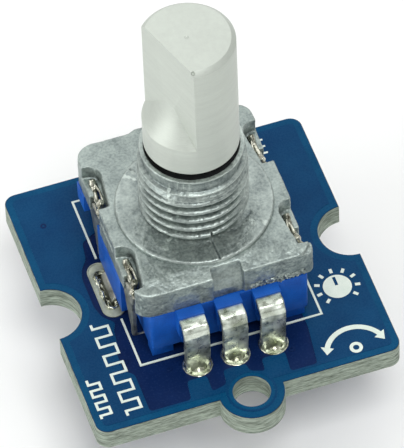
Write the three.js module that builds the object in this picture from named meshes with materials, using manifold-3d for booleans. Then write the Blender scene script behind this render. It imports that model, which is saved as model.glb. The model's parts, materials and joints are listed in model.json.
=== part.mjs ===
// Rotary encoder module: a panel-type incremental encoder soldered to a small square breakout board,
// with a four-way plug socket on the underside.
// Millimetres, +Z up along the shaft. Origin: on the board's centre line, level with the socket's rim.
import * as THREE from 'three';
import { mergeVertices } from 'three/addons/utils/BufferGeometryUtils.js';
import Module from 'manifold-3d';

const wasm = await Module();
wasm.setup();

// ---------------------------------------------------------------- driving dimensions
const ROUND = 36; // facets round a visible turned shape
const ROUND_INSIDE = 24; // facets round a small or hidden shape
const GAP = 0.03; // clearance left between pieces that are joined in the real object
const SNAP = 1e-5; // grid that corners are rounded to, so that faces meant to be level are level

// circuit board
const BOARD_SIDE = 20;
const BOARD_THICKNESS = 1.6;
const BOARD_CORNER = 0.8;
const NOTCH_RADIUS = 2;
const EAR_RADIUS = 2.1;
const EAR_HOLE_RADIUS = 1.2;

// heights
const SOCKET_HEIGHT = 6;
const BOARD_BOTTOM = SOCKET_HEIGHT;
const BOARD_TOP = BOARD_BOTTOM + BOARD_THICKNESS;

// encoder, in its own frame: axis at x = y = 0, z = 0 on the board
const AXIS_Y = 0.65; // encoder axis, behind the board's centre
const PLATE_HALF_X = 5.8;
const PLATE_FRONT = -5.95;
const PLATE_BACK = 6.75;
const PLATE_BOTTOM = 3.9;
const PLATE_TOP = 6.25;
const PLATE_CORNER = 1.1;
const BOSS_DISC_RADIUS = 5;
const BOSS_DISC_TOP = 6.5;
const BUSHING_TOP = 12.2;
const THREAD_RADIUS = 3.5; // M7
const THREAD_ROOT = 3.06;
const THREAD_PITCH = 0.75;
const THREAD_TURNS = 6;
const THREAD_START = 6.95; // middle of the lowest groove
const GROOVE_MOUTH = 0.32; // half-widths of a thread groove at the crest and at the root
const GROOVE_ROOT = 0.06;
const BUSHING_LEAD = 0.6; // taper at the bushing's end
const BUSHING_RIM = 3;
const BUSHING_BORE = 2.35;
const BORE_FLARE = 0.3;
const CAVITY_RADIUS = 4.65;
const CAVITY_ROOF = 5.3;
const BEYOND = 1; // how far a cutter reaches past the face that it cuts

// staking pockets in the sides of the housing, two on each side
const POCKET_CENTRES = [-3.4, 3.35];
const POCKET_HALF_LENGTH = 1.8;
const POCKET_INNER_X = 4.9;
const POCKET_FLOOR = 5.2;

// recess in the front wall of the housing
const RECESS_HALF_X = 1.1;
const RECESS_DEPTH = 0.8;
const RECESS_FLOOR = 4.35;

// shaft
const SHAFT_RADIUS = 3;
const SHAFT_BOTTOM = 12.7; // underside of the full-diameter part
const SHAFT_TOP = 22.3;
const SHAFT_CHAMFER = 0.28;
const RIM_CHAMFER = 0.1; // on the lower rim
const FLAT_OFFSET = 1.5; // flat to axis, 4.5 mm across the D
const FLAT_ANGLE = THREE.MathUtils.degToRad(199); // direction that the flat faces, from +X
const FLAT_START = 15; // the flat runs out on a cone that starts here
const CONE_HEIGHT = 2.3;
const JOURNAL_RADIUS = 2.3;
const DRIVE_RADIUS = 1.9;
const DRIVE_FLAT = 1.4;
const SPIGOT_RADIUS = 1.2;
const RING_GROOVE_RADIUS = 1.72; // groove that the retaining ring snaps into
const RING_GROOVE_BOTTOM = 4.75;
const RING_GROOVE_TOP = 5;
const DRIVE_BOTTOM = 1.9;
const SPIGOT_BOTTOM = 0.8;

// moving parts inside
const HUB_RADIUS = 2.6;
const HUB_BOTTOM = 1.4;
const HUB_TOP = 4.6;
const FLANGE_RADIUS = 4.4;
const FLANGE_BOTTOM = 3.3;
const FLANGE_TOP = 4.2;
const DETENTS = 24;
const DETENT_STEP = 360 / DETENTS;
const DETENT_HEIGHT = 0.22;
const DETENT_INNER = 3.3;
const DETENT_OUTER = 4.35;
const DETENT_HALF_WIDTH = 0.18;
const DISC_OUTER = 4.3;
const DISC_INNER = 2.66; // sits round the rotor's hub
const DISC_BOTTOM = 3.05;
const DISC_TOP = 3.27;
const CODE_INNER = 3.4;
const CODE_OUTER = 4.1;
const SPRING_INNER = 3.05;
const SPRING_OUTER = 4.55;
const SPRING_SHEET = 0.2;
const NOSE_INNER = 3.45;
const NOSE_OUTER = 4.2;
const NOSE_HALF_WIDTH = 0.16;
const RING_OUTER = 2.9; // retaining ring and thrust washer
const RING_MOUTH = 1.8;

// plastic base
const BASE_HALF_X = 5.6;
const BASE_FRONT = -6;
const BASE_BACK = 7;
const BASE_STRAP_X = 5.34; // side walls where the bracket's straps pass
const BASE_CORNER = 0.4;
const BASE_BOTTOM = 0.55;
const BASE_FLOOR = 1.2;
const FOOT_INNER_X = 3.6;
const FOOT_OUTER_X = 5.35;
const FOOT_FRONT = -5; // inner ends of the front and back feet
const FOOT_BACK = 5.6;

// sheet-metal bracket
const SHEET = 0.33;
const STRAP_OUTER_X = 5.7;
const STRAP_HALF_WIDTH = 1.2;
const STRAP_OFFSET = -0.35; // a strap stands in the front part of its pocket
const STRAP_TOP = 5.9;
const STRAP_PLAY = 0.1; // clearance between a strap's edges and its slot
const CLAW_INSET = 0.3; // the staked end is narrower than the strap
const BRACKET_BOTTOM = 0.2;
const BRACKET_WINDOW = 3; // half side of the opening in the bracket's plate
const LEG_X = 6.05;
const LEG_HALF_WIDTH = 1.4;
const LEG_BOTTOM = -2.4;

// terminals
const TERMINAL_ROW = -7.55; // where the terminals enter the board, from the encoder axis
const TERMINAL_WIDTH = 1.65;
const TERMINAL_SHEET = 0.35;
const TERMINAL_EXIT = 3.6; // mid-height of the strip where it leaves the base
const TERMINAL_BEND = 0.75;
const TERMINAL_SHOULDER = 0.2;
const PIN_WIDTH = 1;
const PIN_BOTTOM = -2.7;
const BLOCK_WIDTH = 1.8; // plastic block that each terminal leaves
const BLOCK_FRONT = -6.6;
const BLOCK_BOTTOM = 2.2;
const RISER_Y = -5.25; // where a terminal turns down inside the base's front wall
const INNER_LEVEL = 1.5; // mid-height of a terminal on the floor of the base
const BRUSH_ROOT = -4.3;
const BRUSH_WIDTH = 0.6;
const BRUSH_SHEET = 0.2;
const BRUSH_GAP = 0.08; // brush to code disc
const BRUSH_TIP = { a: -2.86, c: -3.02, b: -2.86 }; // A and B reach the code track, C the common track
const HEEL_HALF_WIDTH = 0.4; // joins the riser and the brush
const HEEL_LENGTH = 0.25;
const HEEL_HEIGHT = 0.2;
const TERMINAL_X = { a: -2.5, c: 0, b: 2.5 };

// solder
const PAD_RADIUS = 0.95;
const HOLE_RADIUS = 0.62;
const SLOT_WIDTH = 0.8;
const SLOT_LENGTH = 3.3;
const LEG_PAD_WIDTH = 1.5;
const LEG_PAD_LENGTH = 4.5;
const SOLDER_TOP = 0.14;
const SOLDER_EDGE = 0.06; // height of a round joint's rim above the board
const CONE_BELOW = 0.9; // a round joint's cone on the underside
const CONE_TIP = 0.62;
const CONE_WAIST = [0.75, 0.4];
const LEG_CROWN_WIDTH = 0.9;
const LEG_CROWN_LENGTH = 3.5;
const LEG_CROWN_BELOW = 0.6;
const LEG_SKIRT_BELOW = 0.3;

// plug socket on the underside, long side along Y
const SOCKET_HALF_X = 2.5;
const SOCKET_HALF_Y = 5;
const SOCKET_Y = 1;
const SOCKET_WALL = 0.75;
const SOCKET_BASE = 1.6;
const CONTACT_PITCH = 2;
const CONTACTS = 4;
const CONTACT_SIZE = 0.5;
const CONTACT_TAIL = 3.9;
const CONTACT_TIP = 0.9; // from a contact's end to the socket's rim
const TAIL_SHEET = 0.3;
const TAIL_GAP = 0.05; // solder film between a tail and the board
const TAB_HALF_WIDTH = 1;
const TAB_INSET = 0.5;
const TAB_REACH = 0.9;
const TAB_DEPTH = 1.4;
const KEYWAY_Y = 3;
const KEYWAY_WIDTH = 1;
const KEYWAY_TOP = 2.4;

// chip parts beside the socket, placed from the socket's middle
const CHIP_X = 4.3;
const CHIP_LENGTH = 1.6;
const CHIP_WIDTH = 0.8;
const CHIPS = [
  { name: 'pull_up_resistor_a', y: -4.6, height: 0.45, finish: 'resistor' },
  { name: 'pull_up_resistor_b', y: -3.1, height: 0.45, finish: 'resistor' },
  { name: 'filter_capacitor_a', y: 3.1, height: 0.7, finish: 'ceramic' },
  { name: 'filter_capacitor_b', y: 4.6, height: 0.7, finish: 'ceramic' },
];

// ---------------------------------------------------------------- helpers
function toSolid(geometry) {
  const bare = geometry.index ? geometry.toNonIndexed() : geometry.clone();
  bare.deleteAttribute('normal');
  bare.deleteAttribute('uv');
  const merged = mergeVertices(bare, 1e-4);
  const snapped = Array.from(merged.attributes.position.array, (value) => Math.round(value / SNAP) * SNAP);
  const mesh = new wasm.Mesh({
    numProp: 3,
    vertProperties: new Float32Array(snapped),
    triVerts: new Uint32Array(merged.index.array),
  });
  return new wasm.Manifold(mesh);
}

function toGeometry(solid) {
  const mesh = solid.getMesh();
  const geometry = new THREE.BufferGeometry();
  geometry.setAttribute('position', new THREE.BufferAttribute(mesh.vertProperties, 3));
  geometry.setIndex(new THREE.BufferAttribute(mesh.triVerts, 1));
  geometry.computeVertexNormals();
  return geometry;
}

function join(solids) {
  return solids.reduce((whole, solid) => whole.add(solid));
}

function block(x0, x1, y0, y1, z0, z1) {
  const geometry = new THREE.BoxGeometry(x1 - x0, y1 - y0, z1 - z0);
  geometry.translate((x0 + x1) / 2, (y0 + y1) / 2, (z0 + z1) / 2);
  return toSolid(geometry);
}

// a solid of revolution about Z, from [radius, height] points that start and end on the axis
function turned(profile, facets = ROUND) {
  const points = profile.map(([radius, height]) => new THREE.Vector2(radius, height));
  const geometry = new THREE.LatheGeometry(points, facets);
  geometry.rotateX(Math.PI / 2);
  return toSolid(geometry);
}

function disc(radius, z0, z1, facets = ROUND) {
  return turned([[0, z0], [radius, z0], [radius, z1], [0, z1]], facets);
}

function ring(inner, outer, z0, z1, facets = ROUND) {
  return disc(outer, z0, z1, facets).subtract(disc(inner, z0 - BEYOND, z1 + BEYOND, facets));
}

function extruded(shape, z0, z1, curveSegments = 6) {
  const geometry = new THREE.ExtrudeGeometry(shape, { depth: z1 - z0, bevelEnabled: false, curveSegments });
  geometry.translate(0, 0, z0);
  return toSolid(geometry);
}

function roundedRectangle(x0, x1, y0, y1, radius) {
  const shape = new THREE.Shape();
  shape.moveTo(x0 + radius, y0);
  shape.lineTo(x1 - radius, y0);
  shape.absarc(x1 - radius, y0 + radius, radius, -Math.PI / 2, 0, false);
  shape.lineTo(x1, y1 - radius);
  shape.absarc(x1 - radius, y1 - radius, radius, 0, Math.PI / 2, false);
  shape.lineTo(x0 + radius, y1);
  shape.absarc(x0 + radius, y1 - radius, radius, Math.PI / 2, Math.PI, false);
  shape.lineTo(x0, y0 + radius);
  shape.absarc(x0 + radius, y0 + radius, radius, Math.PI, 1.5 * Math.PI, false);
  return shape;
}

function obround(x, y, width, length, z0, z1) {
  const radius = width / 2;
  const straight = length / 2 - radius;
  const shape = new THREE.Shape();
  shape.moveTo(x + radius, y - straight);
  shape.lineTo(x + radius, y + straight);
  shape.absarc(x, y + straight, radius, 0, Math.PI, false);
  shape.lineTo(x - radius, y - straight);
  shape.absarc(x, y - straight, radius, Math.PI, 2 * Math.PI, false);
  return extruded(shape, z0, z1, 8);
}

// a prism along Y, from the [x, z] corners of its section
function prismAlongY(outline, y0, y1) {
  const shape = new THREE.Shape(outline.map(([x, z]) => new THREE.Vector2(x, z)));
  const geometry = new THREE.ExtrudeGeometry(shape, { depth: y1 - y0, bevelEnabled: false });
  geometry.rotateX(Math.PI / 2);
  geometry.translate(0, y1, 0);
  return toSolid(geometry);
}

// sheet-metal strip: a centre line in the YZ plane, given a thickness and a width along X
function strip(path, thickness, x, width) {
  const left = [];
  const right = [];
  path.forEach((point, i) => {
    const before = path[Math.max(i - 1, 0)];
    const after = path[Math.min(i + 1, path.length - 1)];
    const into = new THREE.Vector2().subVectors(point, before);
    const out = new THREE.Vector2().subVectors(after, point);
    if (i === 0) into.copy(out);
    if (i === path.length - 1) out.copy(into);
    into.normalize();
    out.normalize();
    const along = into.clone().add(out).normalize();
    const across = new THREE.Vector2(-along.y, along.x);
    const reach = thickness / 2 / Math.max(along.dot(into), 0.5);
    left.push(point.clone().addScaledVector(across, reach));
    right.unshift(point.clone().addScaledVector(across, -reach));
  });
  const shape = new THREE.Shape([...left, ...right]);
  const geometry = new THREE.ExtrudeGeometry(shape, { depth: width, bevelEnabled: false });
  const axes = new THREE.Matrix4().makeBasis(
    new THREE.Vector3(0, 1, 0), new THREE.Vector3(0, 0, 1), new THREE.Vector3(1, 0, 0));
  geometry.applyMatrix4(axes);
  geometry.translate(x - width / 2, 0, 0);
  return toSolid(geometry);
}

function onBothSides(solid) {
  return solid.add(solid.scale([-1, 1, 1]));
}

// a solid drawn for a pocket at y = 0 on the right, copied to all four pockets
function atEachPocket(solid) {
  return onBothSides(join(POCKET_CENTRES.map((y) => solid.translate(0, y, 0))));
}

// ---------------------------------------------------------------- finishes
const finishes = {
  solderMask: { color: 0x1a4a72, roughness: 0.35, metalness: 0 },
  zinc: { color: 0x9aa09c, roughness: 0.55, metalness: 0.9 },
  aluminium: { color: 0xc8cdc8, roughness: 0.4, metalness: 0.9 },
  steel: { color: 0xa8aaa2, roughness: 0.35, metalness: 1 },
  springSteel: { color: 0xb9b4a6, roughness: 0.3, metalness: 1 },
  tinned: { color: 0xc9c5ac, roughness: 0.25, metalness: 1 },
  solder: { color: 0xbfc0b4, roughness: 0.2, metalness: 1 },
  blueNylon: { color: 0x144b9f, roughness: 0.45, metalness: 0 },
  blackNylon: { color: 0x17181a, roughness: 0.6, metalness: 0 },
  gold: { color: 0xc9a24a, roughness: 0.35, metalness: 1 },
  whiteNylon: { color: 0xe9e7dc, roughness: 0.5, metalness: 0 },
  resistor: { color: 0x1b1b1d, roughness: 0.5, metalness: 0 },
  ceramic: { color: 0xa98a63, roughness: 0.5, metalness: 0 },
};

function piece(parent, name, solid, finish) {
  const mesh = new THREE.Mesh(toGeometry(solid), new THREE.MeshStandardMaterial(finishes[finish]));
  mesh.name = name;
  parent.add(mesh);
}

const model = new THREE.Group();
const boardGroup = new THREE.Group(); // z = 0 on the board's top face
boardGroup.position.set(0, 0, BOARD_TOP);
const encoder = new THREE.Group();
encoder.position.set(0, AXIS_Y, BOARD_TOP);
const socket = new THREE.Group(); // z = 0 on the board's underside
socket.position.set(0, SOCKET_Y, BOARD_BOTTOM);
model.add(boardGroup, encoder, socket);

const sides = { left: -1, right: 1 };

// ---------------------------------------------------------------- circuit board
function circuitBoard() {
  const half = BOARD_SIDE / 2;
  const corner = half - BOARD_CORNER;
  const turn = Math.PI / 2;
  const outline = new THREE.Shape();
  outline.moveTo(-corner, -half);
  outline.lineTo(-EAR_RADIUS, -half);
  outline.absarc(0, -half, EAR_RADIUS, 2 * turn, 4 * turn, false);
  outline.lineTo(corner, -half);
  outline.absarc(corner, -corner, BOARD_CORNER, -turn, 0, false);
  outline.lineTo(half, -NOTCH_RADIUS);
  outline.absarc(half, 0, NOTCH_RADIUS, 3 * turn, turn, true);
  outline.lineTo(half, corner);
  outline.absarc(corner, corner, BOARD_CORNER, 0, turn, false);
  outline.lineTo(EAR_RADIUS, half);
  outline.absarc(0, half, EAR_RADIUS, 0, 2 * turn, false);
  outline.lineTo(-corner, half);
  outline.absarc(-corner, corner, BOARD_CORNER, turn, 2 * turn, false);
  outline.lineTo(-half, NOTCH_RADIUS);
  outline.absarc(-half, 0, NOTCH_RADIUS, turn, -turn, true);
  outline.lineTo(-half, -corner);
  outline.absarc(-corner, -corner, BOARD_CORNER, 2 * turn, 3 * turn, false);
  let board = extruded(outline, -BOARD_THICKNESS, 0, 10);
  const through = [-BOARD_THICKNESS - BEYOND, BEYOND];
  for (const y of [-half, half]) {
    board = board.subtract(disc(EAR_HOLE_RADIUS, ...through, ROUND_INSIDE).translate(0, y, 0));
  }
  for (const x of Object.values(TERMINAL_X)) {
    const y = AXIS_Y + TERMINAL_ROW;
    board = board.subtract(disc(HOLE_RADIUS, ...through, ROUND_INSIDE).translate(x, y, 0));
  }
  for (const side of Object.values(sides)) {
    board = board.subtract(obround(side * LEG_X, AXIS_Y, SLOT_WIDTH, SLOT_LENGTH, ...through));
  }
  return board;
}
piece(boardGroup, 'circuit_board', circuitBoard(), 'solderMask');

// room for a strap at a pocket, from the base's narrowed side wall outwards
function strapPassage(outside, z0, z1) {
  const half = STRAP_HALF_WIDTH + STRAP_PLAY;
  return block(BASE_STRAP_X, outside, STRAP_OFFSET - half, STRAP_OFFSET + half, z0, z1);
}

// ---------------------------------------------------------------- housing: one zinc die casting
function encoderHousing() {
  const plateOutline = roundedRectangle(-PLATE_HALF_X, PLATE_HALF_X, PLATE_FRONT, PLATE_BACK, PLATE_CORNER);
  const profile = [[0, PLATE_TOP - BEYOND], [BOSS_DISC_RADIUS, PLATE_TOP - BEYOND],
    [BOSS_DISC_RADIUS, BOSS_DISC_TOP], [THREAD_RADIUS, BOSS_DISC_TOP]];
  for (let turn = 0; turn < THREAD_TURNS; turn += 1) {
    const middle = THREAD_START + turn * THREAD_PITCH;
    profile.push([THREAD_RADIUS, middle - GROOVE_MOUTH], [THREAD_ROOT, middle - GROOVE_ROOT]);
    profile.push([THREAD_ROOT, middle + GROOVE_ROOT], [THREAD_RADIUS, middle + GROOVE_MOUTH]);
  }
  profile.push([THREAD_RADIUS, BUSHING_TOP - BUSHING_LEAD], [BUSHING_RIM, BUSHING_TOP], [0, BUSHING_TOP]);
  const flare = turned([[0, BUSHING_TOP - BORE_FLARE], [BUSHING_BORE, BUSHING_TOP - BORE_FLARE],
    [BUSHING_BORE + 2 * BORE_FLARE, BUSHING_TOP + BORE_FLARE], [0, BUSHING_TOP + BORE_FLARE]]);
  const recess = block(-RECESS_HALF_X, RECESS_HALF_X, PLATE_FRONT - BEYOND, PLATE_FRONT + RECESS_DEPTH,
    RECESS_FLOOR, PLATE_TOP + BEYOND);
  const outside = PLATE_HALF_X + BEYOND;
  const pocket = block(POCKET_INNER_X, outside, -POCKET_HALF_LENGTH, POCKET_HALF_LENGTH,
    POCKET_FLOOR, PLATE_TOP + BEYOND);
  const slot = strapPassage(outside, PLATE_BOTTOM - BEYOND, PLATE_TOP);
  return extruded(plateOutline, PLATE_BOTTOM, PLATE_TOP)
    .add(turned(profile))
    .subtract(disc(CAVITY_RADIUS, PLATE_BOTTOM - BEYOND, CAVITY_ROOF))
    .subtract(disc(BUSHING_BORE, CAVITY_ROOF - BEYOND, BUSHING_TOP + BEYOND))
    .subtract(flare)
    .subtract(recess)
    .subtract(atEachPocket(pocket.add(slot)));
}
piece(encoder, 'encoder_housing', encoderHousing(), 'zinc');

// ---------------------------------------------------------------- bracket: legs and staked straps
function frameBracket() {
  const plateTop = BRACKET_BOTTOM + SHEET;
  const plateFront = POCKET_CENTRES[0] + STRAP_OFFSET - STRAP_HALF_WIDTH;
  const plateBack = POCKET_CENTRES[1] + STRAP_OFFSET + STRAP_HALF_WIDTH;
  const plate = block(-STRAP_OUTER_X, STRAP_OUTER_X, plateFront, plateBack, BRACKET_BOTTOM, plateTop);
  const window = block(-BRACKET_WINDOW, BRACKET_WINDOW, -BRACKET_WINDOW, BRACKET_WINDOW, 0, BEYOND);
  const legInner = LEG_X - SHEET / 2;
  const legOuter = LEG_X + SHEET / 2;
  const shoulder = block(STRAP_OUTER_X - SHEET, legOuter, -LEG_HALF_WIDTH, LEG_HALF_WIDTH,
    BRACKET_BOTTOM, plateTop);
  const leg = block(legInner, legOuter, -LEG_HALF_WIDTH, LEG_HALF_WIDTH, LEG_BOTTOM, plateTop);
  const strap = block(STRAP_OUTER_X - SHEET, STRAP_OUTER_X, STRAP_OFFSET - STRAP_HALF_WIDTH,
    STRAP_OFFSET + STRAP_HALF_WIDTH, BRACKET_BOTTOM, STRAP_TOP);
  const clawHalf = STRAP_HALF_WIDTH - CLAW_INSET;
  const claw = block(POCKET_INNER_X + 2 * GAP, STRAP_OUTER_X, STRAP_OFFSET - clawHalf,
    STRAP_OFFSET + clawHalf, POCKET_FLOOR + GAP, POCKET_FLOOR + GAP + SHEET);
  return plate.subtract(window)
    .add(onBothSides(shoulder.add(leg)))
    .add(atEachPocket(strap.add(claw)));
}
piece(encoder, 'frame_bracket', frameBracket(), 'steel');

// ---------------------------------------------------------------- terminals A, C and B
// centre line from the board's hole up, over the bend, into the base and down to its floor
function terminalPath() {
  const bendCentre = new THREE.Vector2(TERMINAL_ROW + TERMINAL_BEND, TERMINAL_EXIT - TERMINAL_BEND);
  const bendSteps = 6;
  const path = [new THREE.Vector2(TERMINAL_ROW, TERMINAL_SHOULDER)];
  for (let step = 0; step <= bendSteps; step += 1) {
    const angle = Math.PI - (step / bendSteps) * (Math.PI / 2);
    const reach = new THREE.Vector2(Math.cos(angle), Math.sin(angle)).multiplyScalar(TERMINAL_BEND);
    path.push(bendCentre.clone().add(reach));
  }
  path.push(new THREE.Vector2(RISER_Y, TERMINAL_EXIT), new THREE.Vector2(RISER_Y, INNER_LEVEL));
  return path;
}

function brushPath(letter) {
  const tip = new THREE.Vector2(BRUSH_TIP[letter], DISC_BOTTOM - BRUSH_GAP - BRUSH_SHEET / 2);
  return [new THREE.Vector2(RISER_Y, INNER_LEVEL), new THREE.Vector2(BRUSH_ROOT, INNER_LEVEL), tip];
}

// the part of a terminal above the board; a margin makes the slot that it lies in
function terminal(letter, margin = 0) {
  const x = TERMINAL_X[letter];
  const half = TERMINAL_SHEET / 2 + margin;
  const outside = strip(terminalPath(), 2 * half, x, TERMINAL_WIDTH + 2 * margin);
  const heelHalf = HEEL_HALF_WIDTH + margin;
  const heel = block(x - heelHalf, x + heelHalf, RISER_Y - half, RISER_Y + HEEL_LENGTH,
    INNER_LEVEL - half, INNER_LEVEL + HEEL_HEIGHT);
  const brush = strip(brushPath(letter), BRUSH_SHEET + 2 * margin, x, BRUSH_WIDTH + 2 * margin);
  return join([outside, heel, brush]);
}

function terminalPin(letter) {
  const x = TERMINAL_X[letter];
  return block(x - PIN_WIDTH / 2, x + PIN_WIDTH / 2, TERMINAL_ROW - TERMINAL_SHEET / 2,
    TERMINAL_ROW + TERMINAL_SHEET / 2, PIN_BOTTOM, TERMINAL_SHOULDER);
}

for (const letter of Object.keys(TERMINAL_X)) {
  piece(encoder, `terminal_${letter}`, terminal(letter).add(terminalPin(letter)), 'tinned');
}

// ---------------------------------------------------------------- plastic base
function encoderBase() {
  const outline = roundedRectangle(-BASE_HALF_X, BASE_HALF_X, BASE_FRONT, BASE_BACK, BASE_CORNER);
  const passage = strapPassage(BASE_HALF_X + BEYOND, 0, PLATE_BOTTOM + BEYOND);
  const footTop = (BASE_BOTTOM + BASE_FLOOR) / 2;
  const frontFoot = block(FOOT_INNER_X, FOOT_OUTER_X, BASE_FRONT, FOOT_FRONT, 0, footTop);
  const backFoot = block(FOOT_INNER_X, FOOT_OUTER_X, FOOT_BACK, BASE_BACK, 0, footTop);
  const exitBlock = block(-BLOCK_WIDTH / 2, BLOCK_WIDTH / 2, BLOCK_FRONT, BASE_FRONT + BASE_CORNER,
    BLOCK_BOTTOM, PLATE_BOTTOM);
  let base = extruded(outline, BASE_BOTTOM, PLATE_BOTTOM, 3)
    .subtract(atEachPocket(passage))
    .add(onBothSides(frontFoot.add(backFoot)))
    .add(join(Object.values(TERMINAL_X).map((x) => exitBlock.translate(x, 0, 0))))
    .subtract(disc(CAVITY_RADIUS, BASE_FLOOR, PLATE_BOTTOM + BEYOND))
    .subtract(disc(SPIGOT_RADIUS + 2 * GAP, SPIGOT_BOTTOM - GAP, BASE_FLOOR + BEYOND, ROUND_INSIDE));
  for (const letter of Object.keys(TERMINAL_X)) {
    base = base.subtract(terminal(letter, GAP));
  }
  return base;
}
piece(encoder, 'encoder_base', encoderBase(), 'blueNylon');

// ---------------------------------------------------------------- shaft
// everything beyond a plane at the given distance from the axis, facing the given direction
function beyondPlane(distance, angle, z0, z1) {
  const wide = 2 * SHAFT_RADIUS;
  const cutter = block(distance, distance + wide, -wide, wide, z0, z1);
  return cutter.rotate([0, 0, THREE.MathUtils.radToDeg(angle)]);
}

function encoderShaft() {
  const drive = turned([
    [0, SPIGOT_BOTTOM], [SPIGOT_RADIUS, SPIGOT_BOTTOM], [SPIGOT_RADIUS, DRIVE_BOTTOM],
    [DRIVE_RADIUS, DRIVE_BOTTOM], [DRIVE_RADIUS, RING_GROOVE_BOTTOM], [0, RING_GROOVE_BOTTOM]], ROUND_INSIDE)
    .subtract(beyondPlane(DRIVE_FLAT, FLAT_ANGLE, DRIVE_BOTTOM, RING_GROOVE_BOTTOM + BEYOND));
  const neck = disc(SPIGOT_RADIUS, RING_GROOVE_BOTTOM - BEYOND, RING_GROOVE_TOP);
  const journal = turned([
    [0, RING_GROOVE_BOTTOM], [RING_GROOVE_RADIUS, RING_GROOVE_BOTTOM],
    [RING_GROOVE_RADIUS, RING_GROOVE_TOP], [JOURNAL_RADIUS, RING_GROOVE_TOP],
    [JOURNAL_RADIUS, SHAFT_BOTTOM + BEYOND], [0, SHAFT_BOTTOM + BEYOND]]);
  const head = turned([
    [0, SHAFT_BOTTOM], [SHAFT_RADIUS - RIM_CHAMFER, SHAFT_BOTTOM],
    [SHAFT_RADIUS, SHAFT_BOTTOM + RIM_CHAMFER],
    [SHAFT_RADIUS, SHAFT_TOP - SHAFT_CHAMFER], [SHAFT_RADIUS - SHAFT_CHAMFER, SHAFT_TOP], [0, SHAFT_TOP]])
    .subtract(beyondPlane(FLAT_OFFSET, FLAT_ANGLE, FLAT_START, SHAFT_TOP + BEYOND));
  const runOut = turned([
    [0, FLAT_START - BEYOND], [SHAFT_RADIUS, FLAT_START - BEYOND], [SHAFT_RADIUS, FLAT_START],
    [FLAT_OFFSET, FLAT_START + CONE_HEIGHT], [0, FLAT_START + CONE_HEIGHT]]);
  return join([drive, neck, journal, head, runOut]);
}
piece(encoder, 'shaft', encoderShaft(), 'aluminium');

// one copy of a solid for each detent, the first turned by the given angle in degrees
function aroundAxis(solid, start) {
  const copies = [];
  for (let index = 0; index < DETENTS; index += 1) {
    copies.push(solid.rotate([0, 0, start + index * DETENT_STEP]));
  }
  return join(copies);
}

// ---------------------------------------------------------------- rotor with its detent teeth
function encoderRotor() {
  const wheel = turned([[0, HUB_BOTTOM], [HUB_RADIUS, HUB_BOTTOM], [HUB_RADIUS, FLANGE_BOTTOM],
    [FLANGE_RADIUS, FLANGE_BOTTOM], [FLANGE_RADIUS, FLANGE_TOP], [HUB_RADIUS, FLANGE_TOP],
    [HUB_RADIUS, HUB_TOP], [0, HUB_TOP]]);
  const tooth = block(DETENT_INNER, DETENT_OUTER, -DETENT_HALF_WIDTH, DETENT_HALF_WIDTH,
    FLANGE_TOP - GAP, FLANGE_TOP + DETENT_HEIGHT);
  const teeth = aroundAxis(tooth, DETENT_STEP / 2);
  const driveHole = disc(DRIVE_RADIUS + GAP, DRIVE_BOTTOM - GAP, HUB_TOP + BEYOND, ROUND_INSIDE)
    .subtract(beyondPlane(DRIVE_FLAT + GAP, FLAT_ANGLE, 0, HUB_TOP + BEYOND));
  const spigotHole = disc(SPIGOT_RADIUS + GAP, 0, DRIVE_BOTTOM + BEYOND, ROUND_INSIDE);
  return wheel.add(teeth).subtract(driveHole).subtract(spigotHole);
}
piece(encoder, 'rotor', encoderRotor(), 'blackNylon');

// code disc: an unbroken common track inside, a track of windows outside
function codeDisc() {
  const halfWindow = (Math.PI * CODE_INNER) / DETENTS / 2;
  const hole = block(CODE_INNER, CODE_OUTER, -halfWindow, halfWindow,
    DISC_BOTTOM - BEYOND, DISC_TOP + BEYOND);
  return ring(DISC_INNER, DISC_OUTER, DISC_BOTTOM, DISC_TOP).subtract(aroundAxis(hole, 0));
}
piece(encoder, 'code_disc', codeDisc(), 'gold');

// ---------------------------------------------------------------- detent spring, ring and washer
function detentSpring() {
  const top = CAVITY_ROOF - GAP;
  const plate = ring(SPRING_INNER, SPRING_OUTER, top - SPRING_SHEET, top, ROUND_INSIDE);
  const nose = block(NOSE_INNER, NOSE_OUTER, -NOSE_HALF_WIDTH, NOSE_HALF_WIDTH, FLANGE_TOP + GAP,
    top - SPRING_SHEET / 2);
  return plate.add(onBothSides(nose));
}
piece(encoder, 'detent_spring', detentSpring(), 'springSteel');

function retainingRing() {
  const mouth = block(-RING_MOUTH / 2, RING_MOUTH / 2, 0, RING_OUTER + BEYOND, 0, BUSHING_TOP);
  return ring(RING_GROOVE_RADIUS + GAP, RING_OUTER, RING_GROOVE_BOTTOM + GAP / 2, RING_GROOVE_TOP - GAP / 2,
    ROUND_INSIDE).subtract(mouth);
}
piece(encoder, 'retaining_ring', retainingRing(), 'springSteel');

function thrustWasher() {
  return ring(JOURNAL_RADIUS + 2 * GAP, RING_OUTER, RING_GROOVE_TOP + GAP, CAVITY_ROOF - GAP, ROUND_INSIDE);
}
piece(encoder, 'thrust_washer', thrustWasher(), 'gold');

// ---------------------------------------------------------------- solder joints of the encoder
function terminalJoint() {
  const underside = -BOARD_THICKNESS;
  const [waistRadius, waistDepth] = CONE_WAIST;
  const inHole = HOLE_RADIUS - GAP;
  const shape = turned([
    [0, underside - CONE_BELOW], [CONE_TIP, underside - CONE_BELOW], [waistRadius, underside - waistDepth],
    [PAD_RADIUS, underside], [inHole, underside], [inHole, 0], [PAD_RADIUS, 0], [PAD_RADIUS, SOLDER_EDGE],
    [HOLE_RADIUS, SOLDER_TOP], [0, SOLDER_TOP]], ROUND_INSIDE);
  const halfX = PIN_WIDTH / 2 + GAP;
  const halfY = TERMINAL_SHEET / 2 + GAP;
  return shape.subtract(block(-halfX, halfX, -halfY, halfY, PIN_BOTTOM, BEYOND));
}
for (const [letter, x] of Object.entries(TERMINAL_X)) {
  const joint = terminalJoint().translate(x, TERMINAL_ROW, 0);
  piece(encoder, `solder_joint_${letter}`, joint, 'solder');
}

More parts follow.
